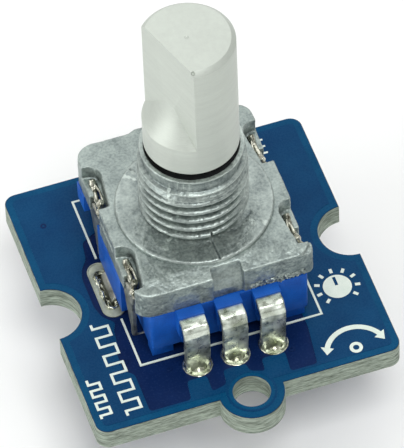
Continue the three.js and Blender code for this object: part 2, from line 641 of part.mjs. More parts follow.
function legJoint(side) {
  const x = side * LEG_X;
  const underside = -BOARD_THICKNESS;
  const above = obround(x, 0, LEG_PAD_WIDTH, LEG_PAD_LENGTH, 0, SOLDER_TOP);
  const filling = obround(x, 0, SLOT_WIDTH - 2 * GAP, SLOT_LENGTH - 2 * GAP, underside - GAP, SOLDER_TOP / 2);
  const skirt = obround(x, 0, LEG_PAD_WIDTH, LEG_PAD_LENGTH, underside - LEG_SKIRT_BELOW, underside);
  const crown = obround(x, 0, LEG_CROWN_WIDTH, LEG_CROWN_LENGTH,
    underside - LEG_CROWN_BELOW, underside - GAP);
  const halfX = SHEET / 2 + GAP;
  const halfY = LEG_HALF_WIDTH + GAP;
  const leg = block(x - halfX, x + halfX, -halfY, halfY, LEG_BOTTOM, BEYOND);
  return join([above, filling, skirt, crown]).subtract(leg);
}
for (const [name, side] of Object.entries(sides)) {
  piece(encoder, `solder_joint_leg_${name}`, legJoint(side), 'solder');
}

// ---------------------------------------------------------------- plug socket
function contactPlace(index) {
  return (index - (CONTACTS - 1) / 2) * CONTACT_PITCH;
}

// a margin makes the passage that the contact or tab lies in, open towards the board
function socketContact(index, margin = 0) {
  const y = contactPlace(index);
  const half = CONTACT_SIZE / 2 + margin;
  const top = margin ? BEYOND : -TAIL_GAP;
  const under = -TAIL_GAP - TAIL_SHEET - margin;
  const tip = -SOCKET_HEIGHT + CONTACT_TIP;
  const outline = [[-CONTACT_TAIL, under], [-half, under], [-half, tip], [half, tip], [half, top],
    [-CONTACT_TAIL, top]];
  return prismAlongY(outline, y - half, y + half);
}

function socketTab(end, margin = 0) {
  const half = TAB_HALF_WIDTH + margin;
  const top = margin ? BEYOND : -TAIL_GAP;
  const inner = SOCKET_HALF_Y - TAB_INSET;
  const foot = block(-half, half, inner - margin, SOCKET_HALF_Y + TAB_REACH,
    -TAIL_GAP - TAIL_SHEET - margin, top);
  const anchor = block(-half, half, inner - margin, inner + TAIL_SHEET + margin, -TAB_DEPTH - margin, top);
  return foot.add(anchor).scale([1, end, 1]);
}

function socketShell() {
  const innerX = SOCKET_HALF_X - SOCKET_WALL;
  const innerY = SOCKET_HALF_Y - SOCKET_WALL;
  const below = -SOCKET_HEIGHT - BEYOND;
  const keyway = block(0, SOCKET_HALF_X + BEYOND, KEYWAY_Y - KEYWAY_WIDTH / 2, KEYWAY_Y + KEYWAY_WIDTH / 2,
    below, -KEYWAY_TOP);
  let shell = block(-SOCKET_HALF_X, SOCKET_HALF_X, -SOCKET_HALF_Y, SOCKET_HALF_Y, -SOCKET_HEIGHT, 0)
    .subtract(block(-innerX, innerX, -innerY, innerY, below, -SOCKET_BASE))
    .subtract(keyway.add(keyway.scale([1, -1, 1])));
  for (let index = 0; index < CONTACTS; index += 1) {
    shell = shell.subtract(socketContact(index, GAP));
  }
  return shell.subtract(socketTab(1, GAP)).subtract(socketTab(-1, GAP));
}
piece(socket, 'socket_shell', socketShell(), 'whiteNylon');
for (let index = 0; index < CONTACTS; index += 1) {
  piece(socket, `socket_contact_${index + 1}`, socketContact(index), 'tinned');
}
piece(socket, 'socket_tab_front', socketTab(-1), 'tinned');
piece(socket, 'socket_tab_back', socketTab(1), 'tinned');

// ---------------------------------------------------------------- chip parts
for (const chip of CHIPS) {
  const body = block(CHIP_X - CHIP_LENGTH / 2, CHIP_X + CHIP_LENGTH / 2, chip.y - CHIP_WIDTH / 2,
    chip.y + CHIP_WIDTH / 2, -chip.height, 0);
  piece(socket, chip.name, body, chip.finish);
}

export default model;
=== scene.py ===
import json
import math

import bmesh
import bpy
from mathutils import Matrix, Vector, noise


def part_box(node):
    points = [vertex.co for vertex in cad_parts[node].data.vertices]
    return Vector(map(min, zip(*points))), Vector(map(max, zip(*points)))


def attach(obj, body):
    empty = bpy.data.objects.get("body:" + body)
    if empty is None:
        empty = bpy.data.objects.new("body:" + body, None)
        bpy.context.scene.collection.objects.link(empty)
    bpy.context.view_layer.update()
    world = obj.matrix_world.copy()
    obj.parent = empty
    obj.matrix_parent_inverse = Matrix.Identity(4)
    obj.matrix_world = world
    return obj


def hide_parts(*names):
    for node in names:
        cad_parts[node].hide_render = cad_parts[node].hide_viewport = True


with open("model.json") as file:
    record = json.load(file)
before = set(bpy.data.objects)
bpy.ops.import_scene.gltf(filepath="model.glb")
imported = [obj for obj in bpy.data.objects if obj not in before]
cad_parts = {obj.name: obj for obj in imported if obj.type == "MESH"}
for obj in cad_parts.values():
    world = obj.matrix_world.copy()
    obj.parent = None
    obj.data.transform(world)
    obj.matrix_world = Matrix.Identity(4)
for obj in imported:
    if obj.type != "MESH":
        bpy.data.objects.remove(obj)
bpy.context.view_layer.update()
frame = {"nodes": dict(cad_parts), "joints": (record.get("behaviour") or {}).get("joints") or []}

# Pieces are built in millimetres, and settle() turns them into metres.
MM = 0.001
scene = bpy.context.scene


def low(node):
    """A node's lowest corner in millimetres."""
    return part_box(node)[0] / MM


def high(node):
    """A node's highest corner in millimetres."""
    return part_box(node)[1] / MM


# ---------------------------------------------------------------- places taken from the frame
BOARD_TOP = high("circuit_board").z
BOARD_BOTTOM = low("circuit_board").z
BOARD_THICK = BOARD_TOP - BOARD_BOTTOM
BOARD_HALF = high("circuit_board").x
EAR_RADIUS = high("circuit_board").y - BOARD_HALF
AXIS = Vector(frame["joints"][0]["pos_m"]) / MM
SPIN = Vector((AXIS.x, AXIS.y, BOARD_TOP))  # the encoder's own origin: its axis, on the board's top
TERMINAL_X = {letter: (low(f"terminal_{letter}").x + high(f"terminal_{letter}").x) / 2 for letter in "acb"}
TERMINAL_WIDTH = high("terminal_c").x - low("terminal_c").x

# ---------------------------------------------------------------- sizes of the board
CORNER = 0.8
NOTCH_RADIUS = 2.0
EAR_HOLE = 1.2
HOLE_RADIUS = 0.62
PAD_RADIUS = 0.95
LEG_PAD = (1.5, 4.5)
LEG_SLOT = (0.8, 3.3)
MASK = 0.03  # the mask film's thickness
RELIEF = 0.035  # how far copper lifts the mask
POUR_INSET = 0.5  # from the board's edge to the copper
INK = 0.02
PRINT_Z = (BOARD_TOP + RELIEF, BOARD_TOP + RELIEF + INK)
PRINT_LINE = 0.14
SOLDERED = 0.06  # thickness of the pads on the underside

# ---------------------------------------------------------------- sizes of the encoder, from its own origin
ROW_Y = -7.55  # the terminals' holes
TERMINAL_SHEET = 0.35
PLATE_X = 5.8
PLATE_Y = (-5.95, 6.75)
PLATE_Z = (3.9, 6.25)
PLATE_CORNER = 1.15
POCKET_X = 4.9
POCKET_Y = (-3.4, 3.35)  # the pockets' middles
POCKET_HALF = 1.8
POCKET_FLOOR = 5.2
CAVITY_RADIUS = 4.65
BASE_X = (-4.98, 5.42)
BASE_Y = (-6.0, 7.0)
BASE_BOTTOM = 0.55
BLOCK_HALF = 0.85  # the blocks that the terminals come out of
BLOCK_FRONT = -6.72
SHEET = 0.33  # the bracket's sheet
BRACKET_Z = (0.2, 0.2 + SHEET)
LEG_X = 6.05
LEG_HALF = 1.15
STRAP_X = (5.37, 5.7)
STRAP_OFFSET = -0.35  # from a pocket's middle to its strap's
STRAP_HALF = 1.2
STRAP_FRONT = 0.65
DISC_RADIUS = 5.0
DISC_TOP = 6.5
BUSHING_TOP = 12.28
THREAD_CREST = 3.47
THREAD_ROOT = 2.8
THREAD_PITCH = 0.78
THREAD_GROOVE = 0.27  # half a groove's width
THREAD_START = 6.68
THREAD_END = 10.72
PARTING_ANGLE = math.radians(-89.5)
SCRATCH_ANGLE = math.radians(129)
SHAFT_RADIUS = 3.0
JOURNAL_RADIUS = 2.3
SHAFT_LOW = 12.7
SHAFT_TOP = 22.3
DRIVE_Z = (1.9, 4.75)  # the lower end that the rotor sits on
DRIVE_RADIUS = 1.9
DRIVE_FLAT = 1.4
FLAT_ANGLE = math.radians(199)
FLAT_OFFSET = 1.5
FLAT_START = 15.0
RUN_OUT = 2.86  # height of the flat's curved run-out


# ---------------------------------------------------------------- mesh helpers
def arc(cx, cy, radius, start, end, steps):
    """Points on an arc, with the angles in degrees and both ends included."""
    turn = math.radians(end - start) / steps
    angles = [math.radians(start) + turn * i for i in range(steps + 1)]
    return [(cx + radius * math.cos(a), cy + radius * math.sin(a)) for a in angles]


def circle(cx, cy, radius, steps=48):
    return arc(cx, cy, radius, 0, 360, steps)[:-1]


def rounded_rectangle(x0, x1, y0, y1, radius, steps=8):
    return (
        arc(x1 - radius, y0 + radius, radius, -90, 0, steps)
        + arc(x1 - radius, y1 - radius, radius, 0, 90, steps)
        + arc(x0 + radius, y1 - radius, radius, 90, 180, steps)
        + arc(x0 + radius, y0 + radius, radius, 180, 270, steps)
    )


def obround(cx, cy, width, length, steps=16):
    """A slot's outline: two half circles joined by straight sides along Y."""
    radius = width / 2
    straight = length / 2 - radius
    return arc(cx, cy + straight, radius, 0, 180, steps) + arc(cx, cy - straight, radius, 180, 360, steps)


def rounded(points, radius, steps=5):
    """The same outline with its corners rounded."""
    outline = []
    for i, point in enumerate(points):
        here = Vector(point)
        before, after = Vector(points[i - 1]), Vector(points[(i + 1) % len(points)])
        cut = min(radius, (before - here).length / 2.1, (after - here).length / 2.1)
        start = here + (before - here).normalized() * cut
        end = here + (after - here).normalized() * cut
        for step in range(steps + 1):
            t = step / steps
            outline.append(tuple(start * (1 - t) ** 2 + here * 2 * t * (1 - t) + end * t ** 2))
    return outline


def stroke(points, width):
    """The outline of a line of that width through the points, with square ends and mitred corners."""
    left, right = [], []
    for i, point in enumerate(points):
        here = Vector(point)
        into = (here - Vector(points[i - 1])).normalized() if i else None
        out = (Vector(points[i + 1]) - here).normalized() if i + 1 < len(points) else into
        into = into or out
        normal = (Vector((-into.y, into.x)) + Vector((-out.y, out.x))).normalized()
        reach = width / 2 / max(normal.dot(Vector((-into.y, into.x))), 0.3)
        left.append(tuple(here + normal * reach))
        right.insert(0, tuple(here - normal * reach))
    return left + right


def link(name, mesh):
    """An object in the scene that shows the data."""
    piece = bpy.data.objects.new(name, mesh)
    scene.collection.objects.link(piece)
    return piece


def from_bmesh(name, bm):
    """An object made from a bmesh, with its faces pointing out."""
    bmesh.ops.recalc_face_normals(bm, faces=bm.faces)
    mesh = bpy.data.meshes.new(name)
    bm.to_mesh(mesh)
    bm.free()
    return link(name, mesh)


def prism(name, outline, z0, z1):
    """An outline in the XY plane, extruded along Z."""
    bm = bmesh.new()
    lower = [bm.verts.new((x, y, z0)) for x, y in outline]
    upper = [bm.verts.new((x, y, z1)) for x, y in outline]
    bm.faces.new(lower)
    bm.faces.new(upper)
    for i in range(len(outline)):
        j = (i + 1) % len(outline)
        bm.faces.new((lower[i], lower[j], upper[j], upper[i]))
    return from_bmesh(name, bm)


def across_x(piece, side=1):
    """Turns a prism so that its outline lies in the YZ plane and it runs along X, on that side."""
    piece.data.transform(Matrix(((0, 0, side, 0), (1, 0, 0, 0), (0, 1, 0, 0), (0, 0, 0, 1))))
    return piece


def across_y(piece, side):
    """Turns a prism so that its outline lies in the XZ plane, on that side, and it runs along Y."""
    piece.data.transform(Matrix(((side, 0, 0, 0), (0, 0, 1, 0), (0, 1, 0, 0), (0, 0, 0, 1))))
    return piece


def bridge(bm, rings, capped=False):
    """Faces from each ring of vertices to the next, and over the two end rings if capped."""
    for a, b in zip(rings, rings[1:]):
        for i in range(len(a)):
            j = (i + 1) % len(a)
            bm.faces.new((a[i], a[j], b[j], b[i]))
    if capped:
        bm.faces.new(rings[0])
        bm.faces.new(rings[-1])


def block(name, x, y, z):
    """A box from three (low, high) pairs."""
    return prism(name, [(x[0], y[0]), (x[1], y[0]), (x[1], y[1]), (x[0], y[1])], *z)


def turned(name, profile, segments=96):
    """A solid of revolution from a closed loop of (radius, height) points. A radius of 0 is on the axis."""
    bm = bmesh.new()
    angles = [2 * math.pi * i / segments for i in range(segments)]
    rings = []
    for radius, height in profile:
        if radius == 0:
            rings.append([bm.verts.new((0, 0, height))])
            continue
        rings.append([bm.verts.new((radius * math.cos(a), radius * math.sin(a), height)) for a in angles])
    for a, b in zip(rings, rings[1:] + rings[:1]):
        if len(a) == len(b) == 1:
            continue
        for i in range(segments):
            j = (i + 1) % segments
            corners = [a[i % len(a)], a[j % len(a)], b[j % len(b)], b[i % len(b)]]
            bm.faces.new(list(dict.fromkeys(corners)))
    return from_bmesh(name, bm)


def apply_modifiers(piece):
    """Replaces the piece's mesh by what its modifiers make of it."""
    bpy.context.view_layer.update()
    evaluated = piece.evaluated_get(bpy.context.evaluated_depsgraph_get())
    mesh = bpy.data.meshes.new_from_object(evaluated)
    piece.modifiers.clear()
    piece.data = mesh
    return piece


def boolean(piece, operation, *others):
    """Cuts the others from the piece, or joins them to it, and deletes them."""
    for other in others:
        modifier = piece.modifiers.new("boolean", "BOOLEAN")
        modifier.operation = operation
        modifier.solver = "EXACT"
        modifier.object = other
        apply_modifiers(piece)
        bpy.data.objects.remove(other)


def bevel(piece, width, segments=2, angle=35):
    """Rounds the edges sharper than the angle, in degrees."""
    modifier = piece.modifiers.new("bevel", "BEVEL")
    modifier.width = width
    modifier.segments = segments
    modifier.limit_method = "ANGLE"
    modifier.angle_limit = math.radians(angle)
    return apply_modifiers(piece)


def soften(piece, voxel, rounds):
    """Rebuilds a solid as an even fine mesh and rounds its edges, as a casting's or a bead's are."""
    remesh = piece.modifiers.new("remesh", "REMESH")
    remesh.mode = "VOXEL"
    remesh.voxel_size = voxel
    smooth = piece.modifiers.new("smooth", "SMOOTH")
    smooth.iterations = rounds
    smooth.factor = 0.5
    apply_modifiers(piece)


def merged(name, pieces):
    """One object that holds the pieces' meshes side by side."""
    bm = bmesh.new()
    for piece in pieces:
        bm.from_mesh(piece.data)
        bpy.data.objects.remove(piece)
    return from_bmesh(name, bm)


def flat_piece(name, outlines, z0, z1, edge=0.0):
    """A flat plate. Outlines inside others are holes, and edge is the radius of its edges."""
    curve = bpy.data.curves.new(name, "CURVE")
    curve.dimensions = "2D"
    curve.fill_mode = "BOTH"
    curve.extrude = (z1 - z0) / 2 - edge
    curve.bevel_depth = edge
    curve.offset = -edge
    curve.bevel_resolution = 1
    for outline in outlines:
        spline = curve.splines.new("POLY")
        spline.points.add(len(outline) - 1)
        spline.use_cyclic_u = True
        for point, (x, y) in zip(spline.points, outline):
            point.co = (x, y, 0, 1)
    drawn = link(name, curve)
    bpy.context.view_layer.update()
    mesh = bpy.data.meshes.new_from_object(drawn.evaluated_get(bpy.context.evaluated_depsgraph_get()))
    bpy.data.objects.remove(drawn)
    mesh.transform(Matrix.Translation((0, 0, (z0 + z1) / 2)))
    bm = bmesh.new()
    bm.from_mesh(mesh)
    bmesh.ops.remove_doubles(bm, verts=bm.verts, dist=1e-4)
    return from_bmesh(name, bm)


def roughen(piece, height, size, seed, where=None):
    """Moves the surface in and out by up to height, in lumps of about that size. where(point) scales it."""
    normals = [v.normal.copy() for v in piece.data.vertices]
    for vertex, normal in zip(piece.data.vertices, normals):
        share = where(vertex.co) if where else 1.0
        if share:
            place = vertex.co / size + Vector((seed, seed, seed))
            vertex.co += normal * height * share * noise.fractal(place, 1.0, 2.0, 2)


def settle(piece, body, material, slot, *nodes, at=(0, 0, 0), angle=40):
    """Puts a finished piece in its place in metres, with its material and body. Its slot is not used."""
    piece.data.transform(Matrix.Scale(MM, 4) @ Matrix.Translation(at))
    piece.data.shade_smooth()
    piece.data.set_sharp_from_angle(angle=math.radians(angle))
    piece.data.materials.clear()
    piece.data.materials.append(material)
    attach(piece, body)
    if nodes:
        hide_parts(*nodes)


# ---------------------------------------------------------------- materials
def linear(red, green, blue):
    """A colour given in 0-255 display values, as the shader wants it."""
    def channel(value):
        value /= 255
        return value / 12.92 if value <= 0.04045 else ((value + 0.055) / 1.055) ** 2.4
    return (channel(red), channel(green), channel(blue), 1)


ROOT_SHADE_TONE = 0.06  # the share of its colour that the most shaded place keeps, in the painted shade near the shaft's axis


def surface(name, dark, light, roughness, metallic=0.0, patch=1.5, grain=14.0, bump=0.0, stretch=(1, 1, 1),
            fine=0.35, contrast=(0.3, 0.7), specular=0.5, wear_and_crease_shade=0.0, root_shade=None):
    """Two tones mixed by patches and fine grain, with uneven gloss and a grainy bump. The patch and grain
    are counts per mm, and the bump is in mm. The pointiness term brightens convex edges, partly as edge wear
    and partly as painted highlight, and darkens grooves with painted shade. The radius term paints shade on
    what lies nearer the shaft's axis, more and more from its second radius to its first."""
    material = bpy.data.materials.new(name)
    material.use_nodes = True
    nodes, links = material.node_tree.nodes, material.node_tree.links
    shader = nodes["Principled BSDF"]
    shader.inputs["Metallic"].default_value = metallic
    shader.inputs["Specular IOR Level"].default_value = specular

    def add(kind, sockets, operation=None):
        """The outputs of a new node. Each of its sockets gets a value, or a link from another node."""
        node = nodes.new(kind)
        if operation:
            node.operation = operation
        for socket, value in sockets.items():
            if isinstance(value, bpy.types.NodeSocket):
                links.new(value, node.inputs[socket])
            else:
                node.inputs[socket].default_value = value
        return node.outputs

    place = add("ShaderNodeTexCoord", {})["Object"]
    scaled = add("ShaderNodeMapping", {"Vector": place, "Scale": [s / MM for s in stretch]})["Vector"]
    patches = add("ShaderNodeTexNoise", {"Vector": scaled, "Scale": patch, "Detail": 4.0})["Fac"]
    grains = add("ShaderNodeTexNoise", {"Vector": scaled, "Scale": grain, "Detail": 3.0})["Fac"]
    mixed = add("ShaderNodeMix", {"Factor": fine, "A": patches, "B": grains})["Result"]
    tone = mixed
    # Painted light: pointiness darkens grooves as painted shade, and lightens convex edges as wear and
    # painted highlight.
    if wear_and_crease_shade:
        pointiness = add("ShaderNodeNewGeometry", {})["Pointiness"]
        centred = add("ShaderNodeMath", {0: mixed, 1: wear_and_crease_shade / 2}, "SUBTRACT")["Value"]
        tone = add("ShaderNodeMath", {0: pointiness, 1: wear_and_crease_shade, 2: centred}, "MULTIPLY_ADD")["Value"]
    ramp = nodes.new("ShaderNodeValToRGB")
    for stop, position, colour in zip(ramp.color_ramp.elements, contrast, (dark, light)):
        stop.position = position
        stop.color = linear(*colour)
    links.new(tone, ramp.inputs["Fac"])
    base = ramp.outputs["Color"]
    # Painted shade: the colour darkens towards the shaft's axis, into the thread's roots and the bushing's
    # mouth.
    if root_shade:
        offset = (-AXIS.x * MM, -AXIS.y * MM, 0)
        outward = add("ShaderNodeVectorMath", {0: place, 1: (1, 1, 0), 2: offset}, "MULTIPLY_ADD")["Vector"]
        distance = add("ShaderNodeVectorMath", {0: outward}, "LENGTH")["Value"]
        unshaded = add("ShaderNodeMapRange", {"Value": distance, "From Min": root_shade[0] * MM,
                                           "From Max": root_shade[1] * MM, "To Min": ROOT_SHADE_TONE})["Result"]
        base = add("ShaderNodeVectorMath", {0: base, "Scale": unshaded}, "SCALE")["Vector"]
    links.new(base, shader.inputs["Base Color"])
    gloss = add("ShaderNodeMapRange", {"Value": grains, "From Min": 0.3, "From Max": 0.7,
                                       "To Min": roughness[0], "To Max": roughness[1]})["Result"]
    links.new(gloss, shader.inputs["Roughness"])
    if bump:
        relief = add("ShaderNodeBump", {"Height": mixed, "Strength": 1.0, "Distance": bump * MM})["Normal"]
        links.new(relief, shader.inputs["Normal"])
    return material


# Cast zinc, with painted shade in its creases and painted highlight mixed with wear on its edges.
zinc = surface("zinc_casting", (82, 93, 95), (182, 194, 188), (0.34, 0.46), metallic=0.78, patch=1.1,
               grain=6.0, bump=0.055, fine=0.5, contrast=(0.22, 0.76), wear_and_crease_shade=2.2)
# The thread's zinc: painted shade in its grooves, roots and mouth towards the axis, and painted highlight
# mixed with wear on its crests.
thread_zinc = surface("zinc_thread", (82, 93, 95), (186, 197, 191), (0.3, 0.44), metallic=0.76, patch=1.1,
                      grain=6.0, bump=0.06, fine=0.5, contrast=(0.22, 0.76), wear_and_crease_shade=3.0, root_shade=(2.85, 3.07))
aluminium = surface("turned_aluminium", (184, 190, 182), (198, 205, 196), (0.4, 0.52), metallic=0.35,
                    patch=0.5, grain=5.0, bump=0.003, stretch=(0.6, 0.6, 7), fine=0.6)
steel = surface("plated_steel", (112, 114, 106), (176, 178, 168), (0.28, 0.42), metallic=0.9, patch=1.2,
                grain=5.0, bump=0.008, contrast=(0.35, 0.6))
bright_steel = surface("bright_sheared_steel", (98, 98, 84), (222, 222, 206), (0.16, 0.32), metallic=0.95,
                       patch=1.6, grain=5.0, bump=0.012, contrast=(0.36, 0.6))
spring = surface("spring_steel", (170, 164, 150), (208, 203, 190), (0.22, 0.36), metallic=1.0, bump=0.004)
tin = surface("tin_plating", (142, 150, 134), (228, 236, 224), (0.22, 0.4), metallic=0.82, patch=0.8,
              grain=2.6, bump=0.02, contrast=(0.38, 0.6))
solder = surface("solder", (118, 122, 100), (236, 238, 218), (0.12, 0.3), metallic=0.9, patch=1.6, grain=5.0,
                 bump=0.01, contrast=(0.38, 0.6))
pad_tin = surface("pad_tin", (138, 145, 128), (192, 198, 180), (0.4, 0.55), metallic=0.5, patch=0.8,
                  grain=5.0, bump=0.006)
# Near-black: a painted shadow for the bushing's mouth, under the shaft's rim.
mouth_shadow = surface("painted_mouth_shadow", (20, 22, 24), (34, 36, 38), (0.5, 0.7), bump=0.004, specular=0.2)
blue = surface("blue_moulding", (6, 64, 148), (24, 102, 200), (0.38, 0.52), patch=0.7, grain=16.0,
               bump=0.008, fine=0.4, specular=0.3)
black = surface("black_moulding", (20, 21, 23), (34, 35, 38), (0.45, 0.6), bump=0.01)
white = surface("white_moulding", (222, 219, 208), (238, 236, 226), (0.38, 0.52), bump=0.008)
gilt = surface("gilt_strip", (186, 146, 62), (220, 184, 100), (0.22, 0.36), metallic=1.0, bump=0.004)
laminate = surface("glass_epoxy", (74, 84, 72), (172, 184, 170), (0.6, 0.8), patch=1.0, grain=4.0, bump=0.05,
                   stretch=(0.5, 0.5, 5), fine=0.5, contrast=(0.34, 0.62), specular=0.2)
bare_mask = surface("mask_over_laminate", (8, 28, 68), (18, 40, 84), (0.2, 0.3), patch=0.5, grain=7.0,
                    bump=0.003, specular=0.06)
copper_mask = surface("mask_over_copper", (4, 52, 92), (12, 68, 108), (0.22, 0.34), patch=0.4, grain=9.0,
                      bump=0.003, specular=0.06)
rim_mask = surface("mask_at_edge", (2, 61, 99), (8, 77, 115), (0.24, 0.34), patch=0.6, grain=9.0, bump=0.003,
                   specular=0.06)
ink = surface("printing_ink", (206, 220, 208), (232, 240, 230), (0.5, 0.65), patch=1.2, grain=12.0,
              bump=0.01)
chip_glaze = surface("resistor_glaze", (18, 18, 20), (34, 34, 38), (0.25, 0.4), bump=0.008)
chip_clay = surface("capacitor_ceramic", (150, 120, 84), (182, 150, 110), (0.45, 0.6), bump=0.01)


# ---------------------------------------------------------------- board
def board_outline(inset=0.0):
    """The board's outline, moved inwards by inset."""
    half = BOARD_HALF - inset
    corner = CORNER - inset if inset < CORNER else 0.05
    centre = half - corner
    ear = EAR_RADIUS - inset
    notch = NOTCH_RADIUS + inset
    ear_turn = math.degrees(math.asin(min(inset / ear, 1)))
    notch_turn = math.degrees(math.asin(min(inset / notch, 1)))
    return (
        arc(0, -BOARD_HALF, ear, 180 - ear_turn, 360 + ear_turn, 24)
        + arc(centre, -centre, corner, -90, 0, 8)
        + arc(BOARD_HALF, 0, notch, 270 - notch_turn, 90 + notch_turn, 24)
        + arc(centre, centre, corner, 0, 90, 8)
        + arc(0, BOARD_HALF, ear, -ear_turn, 180 + ear_turn, 24)
        + arc(-centre, centre, corner, 90, 180, 8)
        + arc(-BOARD_HALF, 0, notch, 90 - notch_turn, -90 + notch_turn, 24)
        + arc(-centre, -centre, corner, 180, 270, 8)
    )


def board_holes(pad_margin=0.0):
    """The outlines of the board's holes and slots, the soldered ones widened by the margin."""
    holes = [circle(0, side * BOARD_HALF, EAR_HOLE) for side in (-1, 1)]
    holes += [circle(x, SPIN.y + ROW_Y, HOLE_RADIUS + pad_margin, 32) for x in TERMINAL_X.values()]
    width, length = (LEG_SLOT[0] + 2 * pad_margin, LEG_SLOT[1] + 2 * pad_margin)
    return holes + [obround(side * LEG_X, SPIN.y, width, length) for side in (-1, 1)]


def mask_layer(name, outlines, z, material, edge=0.0):
    """One film of mask over bare board or copper, from z[0] to z[1]."""
    settle(flat_piece(name, outlines, *z, edge), "module", material, "solder_mask")


def board_layers():
    core = flat_piece("board_core", [board_outline(), *board_holes()], BOARD_BOTTOM + MASK, BOARD_TOP - MASK)
    settle(core, "module", laminate, "board_edge", "circuit_board")
    film = [board_outline(0.03), *board_holes(0.2)]
    mask_layer("mask_top", film, (BOARD_TOP - MASK, BOARD_TOP), bare_mask)
    mask_layer("mask_bottom", film, (BOARD_BOTTOM, BOARD_BOTTOM + MASK), bare_mask)
    # On top, the copper stops short of a window round the encoder's pads.
    window = rounded([(-5.3, 5.3), (-6.3, 4.75), (-6.5, 3.4), (-7.0, 2.7), (-7.2, 2.0), (-7.2, -0.4),
                      (-6.95, -1.3), (-6.3, -2.0), (-6.6, -2.6), (-6.75, -4.1), (-7.0, -4.4), (-7.0, -5.8),
                      (-6.45, -6.3), (-6.45, -9.35), (-3.75, -9.35), (-3.55, -7.9), (-2.25, -7.9),
                      (-2.3, -9.2), (-1.3, -8.95), (-1.15, -7.85), (0.35, -7.85), (0.4, -8.45), (1.3, -8.8),
                      (1.4, -7.8), (2.95, -7.8), (2.8, -9.35), (4.55, -9.35), (4.95, -6.4), (4.95, 5.6)],
                     0.25)
    ears = [circle(0, side * BOARD_HALF, EAR_HOLE + 0.25) for side in (-1, 1)]
    bare_ears = [circle(0, side * BOARD_HALF, EAR_HOLE) for side in (-1, 1)]
    rim = [board_outline(0.05), window, *bare_ears]
    mask_layer("mask_rim_top", rim, (BOARD_TOP, BOARD_TOP + RELIEF / 2), rim_mask)
    pour = [board_outline(POUR_INSET), window, *ears]
    mask_layer("copper_pour_top", pour, (BOARD_TOP, BOARD_TOP + RELIEF), copper_mask)
    vias = []
    for x, y in ((-6.68, -5.13), (3.43, -7.72), (-4.3, -6.6), (6.9, 6.3), (-8.2, 6.9)):
        vias += [circle(x, y, 0.2, 20), circle(x, y, 0.09, 12)]
    mask_layer("via_rings", vias, (BOARD_TOP, BOARD_TOP + RELIEF + 0.012), bare_mask, 0.01)
    # Underneath, it stops short of the socket and chips, and of the terminals' pads.
    keep_out = rounded_rectangle(-4.6, 5.6, -5.4, 7.4, 0.6)
    pads = [circle(x, SPIN.y + ROW_Y, PAD_RADIUS + 0.3, 32) for x in TERMINAL_X.values()]
    under = [board_outline(POUR_INSET), keep_out, *ears, *pads]
    mask_layer("copper_pour_bottom", under, (BOARD_BOTTOM - RELIEF, BOARD_BOTTOM), copper_mask)


def printed(name, outlines, z=PRINT_Z):
    """White ink over the mask."""
    settle(flat_piece(name, outlines, *z), "module", ink, "silkscreen")


def print_outline():
    """The encoder's printed outline, open at the two legs' pads, and three dashes by its back corner."""
    left, right, front, back = -5.86, 6.1, -5.75, 8.1
    gap_front, gap_back = -1.85, 3.25
    rear = stroke([(left, gap_back), (left, back), (right, back), (right, gap_back)], PRINT_LINE)
    near = stroke([(left, gap_front), (left, front), (right, front), (right, gap_front)], PRINT_LINE)
    printed("print_outline", [rear, near], (BOARD_TOP, PRINT_Z[1]))
    printed("print_ticks", [stroke([(6.5, y), (7.2, y)], PRINT_LINE) for y in (7.75, 8.3, 8.85)])


def pulses(base, top, start, period, count, shift):
    """A square wave along -Y, between two X levels."""
    points = [(base, start)]
    for index in range(count):
        rise = start - (index + shift) * period
        points += [(base, rise), (top, rise), (top, rise - period / 2), (base, rise - period / 2)]
    points.append((base, start - (count + shift) * period + period / 4))
    return stroke(points, 0.17)


def print_knob():
    """A round knob with a pointer, and a scale round three quarters of it."""
    centre = (7.75, -4.05)
    scale = []
    for index in range(9):
        angle = math.radians(-45 + 270 / 8 * index)
        along = Vector((math.cos(angle), math.sin(angle)))
        scale.append(stroke([tuple(Vector(centre) + along * reach) for reach in (1.12, 1.46)], 0.2))
    pointer = stroke([(centre[0], centre[1] + 0.1), (centre[0], centre[1] + 0.78)], 0.2)
    printed("print_knob", [circle(*centre, 0.92), pointer, *scale])


def print_turn_arrow():
    """An arc with a head at each end, over a small ring."""
    cx, cy, radius, band, head = 7.25, -9.35, 1.95, 0.17, 0.42
    swing = (28, 152)
    tips = []
    for angle, way in ((swing[0], -1), (swing[1], 1)):
        reach = math.radians(angle + way * 17)
        tips.append((cx + radius * math.cos(reach), cy + radius * math.sin(reach)))
    outer = arc(cx, cy, radius + band, *swing, 20)
    inner = arc(cx, cy, radius - band, swing[1], swing[0], 20)
    barb = [arc(cx, cy, radius + head, a, a + 1, 1)[0] for a in swing]
    notch = [arc(cx, cy, radius - head, a, a + 1, 1)[0] for a in swing]
    arrow = [tips[0], barb[0], *outer, barb[1], tips[1], notch[1], *inner, notch[0]]
    pivot = [circle(cx, cy + 0.35, 0.42), circle(cx, cy + 0.35, 0.2)]
    printed("print_turn_arrow", [arrow, *pivot])


def silkscreen():
    print_outline()
    waves = [pulses(-7.85, -6.85, -1.7, 1.5, 5, 0.25), pulses(-9.45, -8.75, -5.75, 1.0, 3, 0.4)]
    printed("print_pulses", waves)
    print_knob()
    print_turn_arrow()


# ---------------------------------------------------------------- housing
def side_copy(outline, side):
    """The outline on the right, or mirrored to the left."""
    return [(side * x, y) for x, y in outline]


